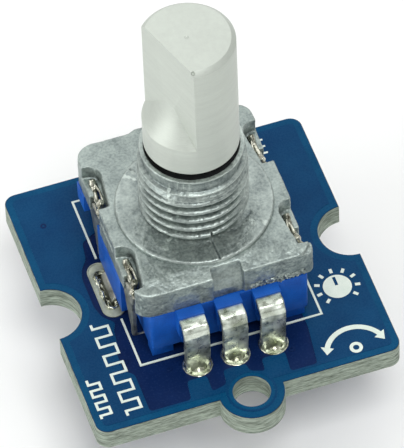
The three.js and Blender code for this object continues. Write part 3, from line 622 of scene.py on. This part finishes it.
def pocket_cutters():
    """Cutters for the four pockets, the slots under them and the slots' open front ends."""
    outside = PLATE_X + 1
    cutters = []
    for side in (-1, 1):
        for centre in POCKET_Y:
            near, far = centre - POCKET_HALF, centre + POCKET_HALF - 0.1
            opening = [(outside, near), (outside, far)] + arc(POCKET_X + 0.65, far - 0.8, 0.8, 90, 180, 8)
            opening += [(POCKET_X + 0.1, near + 0.5), (POCKET_X + 0.2, near + 0.08)]
            cutters.append(prism("pocket", side_copy(opening, side), POCKET_FLOOR, PLATE_Z[1] + 1))
            slot = rounded_rectangle(POCKET_X + 0.12, POCKET_X + 0.54, near + 0.05, centre + 1.4, 0.12, 4)
            gap = [(POCKET_X + 0.35, near + 0.02), (outside, near + 0.02), (outside, centre + 0.1),
                   (POCKET_X + 0.35, centre + 0.2)]
            for name, outline in (("strap_slot", slot), ("open_end", gap)):
                cutters.append(prism(name, side_copy(outline, side), PLATE_Z[0] - 1, PLATE_Z[1]))
    return cutters


def housing_plate():
    wall, rear = PLATE_Y
    bottom, top = PLATE_Z
    outline = rounded_rectangle(-PLATE_X, PLATE_X, wall, rear, PLATE_CORNER)
    plate = prism("housing_plate", outline, bottom, top)
    lug = prism("lug", rounded_rectangle(4.4, PLATE_X + 0.09, wall + 0.02, wall + 1, 0.49), bottom, 6.05)
    boolean(plate, "UNION", lug)
    bevel(plate, 0.14, 3)
    recess = prism("recess", [(wall - 1, bottom - 0.5), (wall + 0.06, bottom - 0.5), (wall + 0.2, 4.5),
                              (wall + 0.72, 5.9), (wall + 0.85, 7), (wall - 1, 7)], -0.75, 1.22)
    cavity = turned("cavity", [(0, 3), (CAVITY_RADIUS, 3), (CAVITY_RADIUS, 5.3), (0, 5.3)])
    bore = turned("bore", [(0, 2), (2.4, 2), (2.4, 8), (0, 8)])
    boolean(plate, "DIFFERENCE", *pocket_cutters(), across_x(recess), cavity, bore)
    rails = [block("rail", (side * PLATE_X - 0.05, side * PLATE_X + 0.05), (-1.3, 1.2), (5.25, 5.4))
             for side in (-1, 1)]
    step = prism("step", [(-2.3, rear - 0.3), (-2.1, rear), (-1.65, rear + 0.19), (1.65, rear + 0.19),
                          (2.1, rear), (2.3, rear - 0.3)], bottom, top - 0.02)
    boolean(plate, "UNION", *rails, step)
    soften(plate, 0.055, 3)
    # The top falls away towards the front edge.
    for vertex in plate.data.vertices:
        fall = min(1, max(0, (wall + 1.1 - vertex.co.y) / 1.1))
        vertex.co.z -= 0.3 * fall * max(0, vertex.co.z - 5.2)

    def flash(place):
        """1 along the right part of the lower front edge, where the casting is rough."""
        return 1.0 if place.y < wall + 0.12 and place.z < 4.45 and 1.6 < place.x < 5.2 else 0.0

    roughen(plate, 0.026, 0.5, 3.0)
    roughen(plate, 0.16, 0.16, 8.0, flash)
    settle(plate, "module", zinc, "zinc", "encoder_housing", at=SPIN, angle=60)


def apart(angle, other):
    """How far two directions are apart, without sign."""
    return abs((angle - other + math.pi) % (2 * math.pi) - math.pi)


def thread_radius(angle, height):
    """Radius of the bushing's right-hand thread: wide crests, narrow grooves, run out at both ends."""
    turns = (height - THREAD_START) / THREAD_PITCH - angle / (2 * math.pi) - 0.25
    across = abs((turns + 0.5) % 1 - 0.5) * THREAD_PITCH
    crown = 0.06 * max(0.0, (across - THREAD_GROOVE) / 0.12)
    taper = 0.26 * max(0.0, (height - THREAD_END + 0.5) / 0.5) ** 2
    depth = max(0.0, 1 - (across / THREAD_GROOVE) ** 2.4)
    depth *= min(1, max(0, (THREAD_END - THREAD_GROOVE - height) / 0.3))
    depth *= min(1, max(0, (height - DISC_TOP - 0.02) / 0.15))
    edge = THREAD_CREST - 0.05
    return edge + crown - taper - (edge - THREAD_ROOT) * depth


def housing_bushing():
    """The disc, thread and neck, with a step and a crack where the two halves of the mould met, and a
    scratch across the disc."""
    segments = 400
    disc = [(DISC_RADIUS, 5.6), (DISC_RADIUS, 6.0), (DISC_RADIUS, 6.34), (DISC_RADIUS - 0.03, 6.46),
            (DISC_RADIUS - 0.1, DISC_TOP)]
    disc += [(4.8 - 0.1 * step, DISC_TOP) for step in range(13)]
    disc += [(3.52, DISC_TOP)]
    rows = 120
    rise = (THREAD_END - DISC_TOP - 0.03) / rows
    thread = [(THREAD_CREST, DISC_TOP + 0.03 + rise * i) for i in range(rows + 1)]
    neck = [(3.12, 10.8), (3.02, 10.85), (2.93, 10.9), (2.93, 10.96), (3.2, 11.0), (3.4, 11.05), (3.4, 11.1),
            (3.37, 11.13), (3.17, 11.17), (3.12, 11.2), (3.1, 11.26), (3.1, 11.85), (3.12, 11.98),
            (3.2, 12.08), (3.27, 12.15), (3.27, 12.22), (3.23, BUSHING_TOP)]
    mouth = [(3.13, BUSHING_TOP), (3.02, BUSHING_TOP), (2.96, 12.2), (2.94, 12.05), (2.94, 11.5),
             (2.85, 11.35), (2.45, 11.3), (2.35, 11.2), (2.35, 9.0), (2.35, 5.6)]
    profile = disc + thread + neck + mouth
    first, last = len(disc), len(disc) + len(thread)

    def place(index, angle):
        """The point of the profile with that index, at that angle."""
        radius, z = profile[index]
        on_disc_top = z == DISC_TOP
        threaded = first <= index < last
        right_half = PARTING_ANGLE < angle < PARTING_ANGLE + math.pi
        crack = apart(angle, PARTING_ANGLE) < 0.014
        scratch = apart(angle, SCRATCH_ANGLE) < 0.012 and 4.35 < radius < 4.9
        r = thread_radius(angle, z + 0.02 * right_half) if threaded else radius
        if right_half and (first <= index < first + 24 or last - 4 <= index < last + 5):
            r -= 0.06
        if crack and on_disc_top:
            z -= 0.08
        if crack and threaded and z < 7.4 and r > 3.3:
            r -= 0.12
        if scratch and on_disc_top:
            z -= 0.06
        return (r * math.cos(angle), r * math.sin(angle), z)

    bm = bmesh.new()
    angles = [2 * math.pi * step / segments - math.pi for step in range(segments)]
    rings = [[bm.verts.new(place(index, angle)) for angle in angles] for index in range(len(profile))]
    bridge(bm, rings + rings[:1])
    bushing = from_bmesh("housing_bushing", bm)
    roughen(bushing, 0.02, 0.4, 5.0)
    settle(bushing, "module", thread_zinc, "zinc", at=SPIN, angle=50)
    # Painted shadow: a dark ring inside the bushing's mouth, where the shaft's rim shades the bore.
    shadow_ring = turned("bushing_mouth_shadow", [(2.34, 11.5), (2.96, 11.5), (2.96, 11.9), (2.7, 11.98), (2.36, 12.0)])
    roughen(shadow_ring, 0.02, 0.4, 60.0)
    settle(shadow_ring, "module", mouth_shadow, "black_nylon", at=SPIN)


# ---------------------------------------------------------------- shaft
def shaft():
    bottom, shoulder = DRIVE_Z
    profile = [(0, 0.8), (1.2, 0.8), (1.2, bottom), (DRIVE_RADIUS, bottom), (DRIVE_RADIUS, shoulder),
               (1.72, shoulder), (1.72, 5.0), (JOURNAL_RADIUS, 5.0), (JOURNAL_RADIUS, SHAFT_LOW),
               (SHAFT_RADIUS - 0.12, SHAFT_LOW), (SHAFT_RADIUS, SHAFT_LOW + 0.12),
               (SHAFT_RADIUS, SHAFT_TOP - 0.3), (SHAFT_RADIUS - 0.3, SHAFT_TOP), (0, SHAFT_TOP)]
    body = turned("shaft_body", profile, 160)
    to_flat = Matrix.Rotation(FLAT_ANGLE, 4, "Z")
    wide = 2 * SHAFT_RADIUS
    flat = block("flat", (FLAT_OFFSET, FLAT_OFFSET + wide), (-wide, wide), (FLAT_START, SHAFT_TOP + 1))
    flat.data.transform(to_flat)
    scoop = []
    for step in range(15):
        share = step / 14
        radius = FLAT_OFFSET - 0.1 + (SHAFT_RADIUS - FLAT_OFFSET + 0.101) * (1 - share) ** 1.8
        scoop.append((radius, FLAT_START + RUN_OUT * share))
    run_out = turned("run_out", [(0, FLAT_START - 1), (SHAFT_RADIUS + 0.001, FLAT_START - 1), *scoop,
                                 (0, FLAT_START + RUN_OUT)], 160)
    boolean(flat, "DIFFERENCE", run_out)
    boolean(body, "DIFFERENCE", flat)
    drive = block("drive", (DRIVE_FLAT, SHAFT_RADIUS), (-SHAFT_RADIUS, SHAFT_RADIUS), DRIVE_Z)
    drive.data.transform(to_flat)
    boolean(body, "DIFFERENCE", drive)
    bevel(body, 0.12, 3, 24)
    dimple = turned("centre_mark", [(0, SHAFT_TOP - 0.12), (0.16, SHAFT_TOP + 0.02),
                                    (0, SHAFT_TOP + 0.02)], 24)
    nick = turned("corner_nick", [(0, SHAFT_TOP - 0.3), (0.12, SHAFT_TOP - 0.2), (0.12, SHAFT_TOP + 0.1),
                                  (0, SHAFT_TOP + 0.1)], 16)
    corner = FLAT_ANGLE + math.acos(FLAT_OFFSET / SHAFT_RADIUS)
    nick.data.transform(Matrix.Translation((2.82 * math.cos(corner), 2.82 * math.sin(corner), 0)))
    boolean(body, "DIFFERENCE", dimple, nick)
    settle(body, "shaft_assembly", aluminium, "shaft_aluminium", "shaft", at=SPIN, angle=30)


# ---------------------------------------------------------------- base
def base_body():
    front, back = BASE_Y
    bottom, top = BASE_BOTTOM, PLATE_Z[0] - 0.02
    body = prism("base_body", rounded_rectangle(*BASE_X, front, back, 0.3, 4), bottom + 0.15, PLATE_Z[0])
    boolean(body, "UNION", block("waist", (-5.76, 5.76), (-2.36, 2.22), (bottom, top)))
    passages = []
    for side in (-1, 1):
        for centre in POCKET_Y:
            y = (centre + STRAP_OFFSET - STRAP_FRONT - 0.1, centre + STRAP_OFFSET + STRAP_HALF + 0.1)
            passages.append(block("passage", sorted((side * 5.34, side * 7)), y, (0, 5)))
    boolean(body, "DIFFERENCE", *passages)
    ledge_y = (front + 0.35, back - 0.35)
    extras = [block("ledge", (BASE_X[0] + 0.08, BASE_X[1] - 0.1), ledge_y, (bottom, bottom + 0.3))]
    for centre in TERMINAL_X.values():
        x = (centre - BLOCK_HALF, centre + BLOCK_HALF)
        foot_x = (centre - 0.55, centre + 0.55)
        extras.append(block("exit", x, (BLOCK_FRONT, front + 0.4), (2.2, top)))
        extras.append(block("exit_top", x, (BLOCK_FRONT, front + 0.02), (3.5, 4.02)))
        extras.append(block("exit_foot", foot_x, (front - 0.18, front + 0.4), (bottom + 0.3, 2.3)))
    for side in (-1, 1):
        extras.append(block("shoulder", sorted((side * 4.9, side * 5.87)), (4.65, 6.0), (2.4, top)))
        foot_x = sorted((side * 3.65 + 0.1, side * 5.03 + 0.1))
        for y in ((front + 0.05, front + 1), (5.6, back - 0.05)):
            extras.append(block("foot", foot_x, y, (0.02, bottom + 0.3)))
    boolean(body, "UNION", *extras)
    hollow = turned("hollow", [(0, 1.2), (CAVITY_RADIUS, 1.2), (CAVITY_RADIUS, 4.5), (0, 4.5)])
    seat = turned("seat", [(0, 0.75), (1.28, 0.75), (1.28, 1.4), (0, 1.4)], 48)
    boolean(body, "DIFFERENCE", hollow, seat)
    bevel(body, 0.07, 3, 40)
    settle(body, "module", blue, "blue_nylon", "encoder_base", at=SPIN, angle=35)


# ---------------------------------------------------------------- terminals
def terminal(letter):
    """A flat strip along a path of (y, z) points, rolled down to its hole and narrowed below the pad."""
    x = TERMINAL_X[letter]
    half = TERMINAL_WIDTH / 2
    path = [(-6.2, 3.68), (-6.8, 3.68), (-7.08, 3.66), (-7.32, 3.57), (-7.52, 3.38), (-7.62, 3.1),
            (-7.64, 2.8), (-7.6, 1.96), (ROW_Y, 0.87), (ROW_Y, 0.3), (ROW_Y, 0.06), (ROW_Y, -0.25),
            (ROW_Y, -1.2), (ROW_Y, -2.7)]
    tail = [half - 0.03, half - 0.12, 0.5, 0.5, 0.42]
    widths = [half] * (len(path) - len(tail)) + tail
    bm = bmesh.new()
    rings = []
    for i, (y, z) in enumerate(path):
        before, after = path[max(i - 1, 0)], path[min(i + 1, len(path) - 1)]
        along = Vector((after[0] - before[0], after[1] - before[1])).normalized()
        across = Vector((-along.y, along.x)) * TERMINAL_SHEET / 2
        w = widths[i]
        corners = [(-w, 1), (w, 1), (w, -1), (-w, -1)]
        rings.append([bm.verts.new((x + dx, y + across.x * s, z + across.y * s)) for dx, s in corners])
    bridge(bm, rings, capped=True)
    strip = from_bmesh(f"terminal_strip_{letter}", bm)
    bevel(strip, 0.07, 2, 50)
    divided = strip.modifiers.new("divide", "SUBSURF")
    divided.subdivision_type = "SIMPLE"
    divided.levels = 3
    smooth = strip.modifiers.new("smooth", "SMOOTH")
    smooth.iterations = 3
    apply_modifiers(strip)
    roughen(strip, 0.04, 0.7, 10.0 + 5 * x)
    settle(strip, "module", tin, "tinned", f"terminal_{letter}", at=SPIN, angle=60)


# ---------------------------------------------------------------- solder
def round_joint(letter):
    """A plated hole's solder: a cone below the board, and a low rim round the terminal above it."""
    under = -BOARD_THICK
    profile = [(0, under - 0.92), (0.5, under - 0.9), (0.6, under - 0.7), (0.7, under - 0.4),
               (0.84, under - 0.12), (PAD_RADIUS, under - 0.03), (PAD_RADIUS, under),
               (HOLE_RADIUS - 0.02, under), (HOLE_RADIUS - 0.02, -0.02), (PAD_RADIUS - 0.02, -0.02),
               (PAD_RADIUS, 0.04), (0.91, 0.07), (0.85, 0.06), (0.81, -0.04), (0.77, -0.18), (0.7, -0.27),
               (0.55, -0.26), (0.3, -0.12), (0, 0)]
    bead = turned(f"solder_bead_{letter}", profile, 64)
    roughen(bead, 0.03, 0.5, 30.0 + TERMINAL_X[letter])
    settle(bead, "module", solder, "solder", f"solder_joint_{letter}",
           at=SPIN + Vector((TERMINAL_X[letter], ROW_Y, 0)), angle=70)


def leg_joint(name, side):
    """A leg's plated slot: a land with a raised lip above the board, and the solder that fills the slot."""
    x = side * LEG_X
    under = -BOARD_THICK
    outer = obround(x, 0, *LEG_PAD)
    slot = obround(x, 0, LEG_SLOT[0] - 0.06, LEG_SLOT[1] - 0.06)
    pad = flat_piece("pad", [outer, slot], -0.02, 0.06, 0.02)
    lip = flat_piece("lip", [outer, obround(x, 0, LEG_PAD[0] - 0.16, LEG_PAD[1] - 0.16)], 0.0, 0.1, 0.03)
    settle(merged(f"solder_land_{name}", [pad, lip]), "module", pad_tin, "tinned", at=SPIN, angle=60)
    fill = prism("fill", obround(x, 0, LEG_SLOT[0], LEG_SLOT[1] - 0.3), under - 0.3, -0.4)
    wet = flat_piece("wet", [obround(x, 0, LEG_SLOT[0] + 0.1, LEG_SLOT[1] - 0.1),
                             obround(x, 0, LEG_SLOT[0] - 0.3, LEG_SLOT[1] - 0.7)], -0.12, 0.13, 0.04)
    skirt = prism("skirt", outer, under - 0.3, under)
    crown = prism("crown", obround(x, 0, 0.9, 3.5), under - 0.6, under)
    joint = merged(f"solder_leg_{name}", [fill, wet, skirt, crown])
    soften(joint, 0.05, 4)

    def lumps(place):
        """How lumpy the solder is: most in the upper part of the slot."""
        return 1.0 if abs(abs(place.x) - LEG_X) < 0.46 and place.z > -0.4 else 0.2

    roughen(joint, 0.2, 0.5, 40.0 + side, lumps)
    settle(joint, "module", solder, "solder", f"solder_joint_leg_{name}", at=SPIN, angle=70)


# ---------------------------------------------------------------- bracket
def tube(name, points, radii, steps=12):
    """A closed round bar through the points, with a radius at each."""
    angles = [2 * math.pi * k / steps for k in range(steps)]
    bm = bmesh.new()
    rings = []
    for i, point in enumerate(points):
        before, after = Vector(points[max(i - 1, 0)]), Vector(points[min(i + 1, len(points) - 1)])
        along = (after - before).normalized()
        across = along.orthogonal().normalized()
        other = along.cross(across)
        rings.append([bm.verts.new(Vector(point) + radii[i] * (math.cos(a) * across + math.sin(a) * other))
                      for a in angles])
    bridge(bm, rings, capped=True)
    return from_bmesh(name, bm)


def leg(side):
    """The bracket's leg, bent down from its plate through the board."""
    bottom, top = BRACKET_Z
    near, far = LEG_X - 0.3, LEG_X + 0.03
    bend = [(4.6, bottom), (near - 0.12, bottom), (near - 0.03, 0.15), (near, 0.05), (near, -2.4),
            (far, -2.4), (far, 0.05), (far - 0.04, 0.25), (far - 0.18, 0.44), (near - 0.08, top), (4.6, top)]
    return across_y(prism("leg", bend, -LEG_HALF, LEG_HALF), side)


def strap(side, centre):
    """A strap and the thin tab at its foot. It tapers downwards behind its upright front edge."""
    y = centre + STRAP_OFFSET
    foot = y - STRAP_FRONT
    shape = [(foot + 0.05, 0.45), (foot + 0.3, 0.45), (foot + 0.42, 1.0), (y + 0.95, 3.6), (y + 0.95, 3.85),
             (y + 0.5, 4.0), (y + 0.4, 4.75), (y - 1.05, 4.75), (y - 0.9, 3.95), (foot, 3.8), (foot, 1.0)]
    tab = block("tab", sorted((side * 4.6, side * 5.6)), (foot + 0.1, foot + 0.28), (0.28, 0.42))
    return [tab, across_x(prism("strap", shape, *STRAP_X), side)]


def strap_end(side, centre):
    """The sheared and twisted metal in a pocket, where the strap's end is staked over."""
    bars = (
        ("back_end", [(5.3, 0.75, 4.9), (5.3, 1.02, 5.3), (5.27, 1.2, 5.52)], [0.16, 0.23, 0.19]),
        ("twist", [(5.3, 1.1, 5.25), (5.36, 0.5, 5.02), (5.4, -0.2, 4.98), (5.4, -0.6, 5.2)],
         [0.15, 0.18, 0.18, 0.16]),
        ("front_end", [(5.42, -0.6, 4.6), (5.36, -0.66, 5.2), (5.28, -0.74, 5.56)], [0.22, 0.26, 0.2]),
        ("outer_end", [(5.54, -0.9, 4.5), (5.6, -0.95, 4.9)], [0.2, 0.17]),
        ("edge", [(5.2, 0.85, 5.3), (5.07, 0.3, 5.3), (5.1, -0.5, 5.25)], [0.08, 0.09, 0.09]),
    )
    return [tube(name, [(side * x, centre + y, z) for x, y, z in points], radii)
            for name, points, radii in bars]


def bracket():
    front = POCKET_Y[0] + STRAP_OFFSET - STRAP_HALF
    back = POCKET_Y[1] + STRAP_OFFSET + STRAP_HALF
    sheet = [(-4.85, front), (4.85, front), (4.85, back), (-4.85, back)]
    parts = [flat_piece("plate", [sheet, rounded_rectangle(-3, 3, -3, 3, 0.4)], *BRACKET_Z)]
    ends = []
    for side in (-1, 1):
        parts.append(leg(side))
        for centre in POCKET_Y:
            parts += strap(side, centre)
            ends += strap_end(side, centre)
    bent = merged("bracket_sheet", parts)
    soften(bent, 0.055, 3)
    roughen(bent, 0.03, 0.6, 50.0)
    settle(bent, "module", steel, "steel", "frame_bracket", at=SPIN, angle=60)
    sheared = merged("bracket_ends", ends)
    soften(sheared, 0.035, 4)
    roughen(sheared, 0.03, 0.7, 55.0)
    settle(sheared, "module", bright_steel, "steel", at=SPIN, angle=60)


# ---------------------------------------------------------------- chips, socket and inner pieces
CONTACTS = [f"socket_contact_{index}" for index in range(1, 5)]
TABS = ["socket_tab_front", "socket_tab_back"]


def dress(node, material, width=0.04):
    """A CAD node that is shown as it is, with welded corners, small rounded edges and a real finish."""
    piece = frame["nodes"][node]
    weld = piece.modifiers.new("weld", "WELD")
    weld.merge_threshold = 1e-6
    edges = piece.modifiers.new("rounded", "BEVEL")
    edges.width = width * MM
    edges.segments = 2
    edges.limit_method = "ANGLE"
    edges.angle_limit = math.radians(40)
    piece.data.materials.clear()
    piece.data.materials.append(material)


def chip(node, material, slot):
    """A chip part under the board: its body, its soldered end caps and the pads that it sits on."""
    corner, far = low(node), high(node)
    cap = 0.28
    body = block(f"{node}_body", (corner.x + 0.03, far.x - 0.03), (corner.y + 0.02, far.y - 0.02),
                 (corner.z + 0.02, far.z))
    bevel(body, 0.03)
    settle(body, "module", material, slot, node)
    ends = []
    for x in ((corner.x, corner.x + cap), (far.x - cap, far.x)):
        ends.append(bevel(block("end", x, (corner.y, far.y), (corner.z, far.z)), 0.05, 3))
    settle(merged(f"{node}_ends", ends), "module", solder, "solder")
    pads = []
    pad_y, pad_z = (corner.y - 0.08, far.y + 0.08), (far.z - 0.05, far.z - 0.001)
    for x in (corner.x + cap / 2, far.x - cap / 2):
        pads.append(block("pad", (x - 0.45, x + 0.45), pad_y, pad_z))
    settle(merged(f"{node}_pads", pads), "module", tin, "tinned")


def socket_pads():
    z = (BOARD_BOTTOM - SOLDERED, BOARD_BOTTOM)
    pads = []
    for node in CONTACTS:
        corner, far = low(node), high(node)
        middle = (corner.y + far.y) / 2
        pads.append(block("pad", (corner.x - 0.35, corner.x + 1.2), (middle - 0.45, middle + 0.45), z))
    for node in TABS:
        corner, far = low(node), high(node)
        y = (corner.y - 0.25, corner.y + 1.1) if node.endswith("front") else (far.y - 1.1, far.y + 0.25)
        pads.append(block("pad", (corner.x - 0.3, far.x + 0.3), y, z))
    for pad in pads:
        bevel(pad, 0.02)
    settle(merged("socket_pads", pads), "module", solder, "solder")


# ---------------------------------------------------------------- stage
def area_light(name, place, target, size, power):
    """A rectangular lamp at a place, turned to a target. Lengths are in metres, and power is in watts."""
    lamp = bpy.data.lights.new(name, "AREA")
    lamp.shape = "RECTANGLE"
    lamp.size, lamp.size_y = size
    lamp.energy = power
    light = link(name, lamp)
    light.location = place
    light.rotation_euler = (Vector(target) - Vector(place)).to_track_quat("-Z", "Y").to_euler()


def stage():
    """A pale floor, three soft lights and an even white surrounding."""
    floor = block("floor", (-900, 900), (-900, 900), (-2, 0))
    floor.data.transform(Matrix.Scale(MM, 4))
    paper = bpy.data.materials.new("pale_floor")
    paper.use_nodes = True
    paper.node_tree.nodes["Principled BSDF"].inputs["Base Color"].default_value = linear(246, 247, 246)
    paper.node_tree.nodes["Principled BSDF"].inputs["Roughness"].default_value = 0.9
    floor.data.materials.append(paper)
    centre = (0, 0, 12 * MM)
    area_light("key", (0.01, -0.12, 0.27), centre, (0.13, 0.13), 0.37)
    area_light("rear", (0.07, 0.22, 0.28), centre, (0.5, 0.3), 0.56)
    area_light("fill", (-0.25, -0.03, 0.12), centre, (0.2, 0.16), 0.3)
    world = bpy.data.worlds.new("studio")
    world.use_nodes = True
    world.node_tree.nodes["Background"].inputs["Color"].default_value = (1, 1, 1, 1)
    world.node_tree.nodes["Background"].inputs["Strength"].default_value = 0.44
    scene.world = world
    scene.view_settings.view_transform = "Standard"


def camera():
    """A long lens above the front left. Its distance and shift from the board's middle are in millimetres."""
    azimuth, elevation, roll = math.radians(-16.753), math.radians(51.536), math.radians(-2.511)
    distance, shift_x, shift_y = 399.373, 0.108, 3.046
    right = Vector((math.cos(azimuth), math.sin(azimuth), 0))
    back = Vector((math.sin(azimuth) * math.cos(elevation), -math.cos(azimuth) * math.cos(elevation),
                   math.sin(elevation)))
    up = back.cross(right)
    turned_right = math.cos(roll) * right + math.sin(roll) * up
    turned_up = -math.sin(roll) * right + math.cos(roll) * up
    data = bpy.data.cameras.new("camera")
    data.sensor_fit = "HORIZONTAL"
    data.sensor_width = 36
    data.lens = 563.5
    data.clip_start = 0.01
    data.clip_end = 10
    eye = link("camera", data)
    basis = Matrix((turned_right, turned_up, back)).transposed().to_4x4()
    place = turned_right * shift_x + turned_up * shift_y + back * distance + Vector((0, 0, BOARD_TOP))
    eye.matrix_world = Matrix.Translation(place * MM) @ basis
    scene.camera = eye


camera()
stage()
board_layers()
silkscreen()
housing_plate()
housing_bushing()
shaft()
base_body()
for letter in TERMINAL_X:
    terminal(letter)
    round_joint(letter)
leg_joint("left", -1)
leg_joint("right", 1)
bracket()
for node in ("pull_up_resistor_a", "pull_up_resistor_b"):
    chip(node, chip_glaze, "chip_black")
for node in ("filter_capacitor_a", "filter_capacitor_b"):
    chip(node, chip_clay, "chip_ceramic")
dress("socket_shell", white, 0.08)
for node in CONTACTS + TABS:
    dress(node, tin)
socket_pads()
dress("rotor", black)
dress("code_disc", gilt, 0.02)
dress("detent_spring", spring, 0.02)
dress("retaining_ring", spring, 0.02)
dress("thrust_washer", gilt, 0.02)
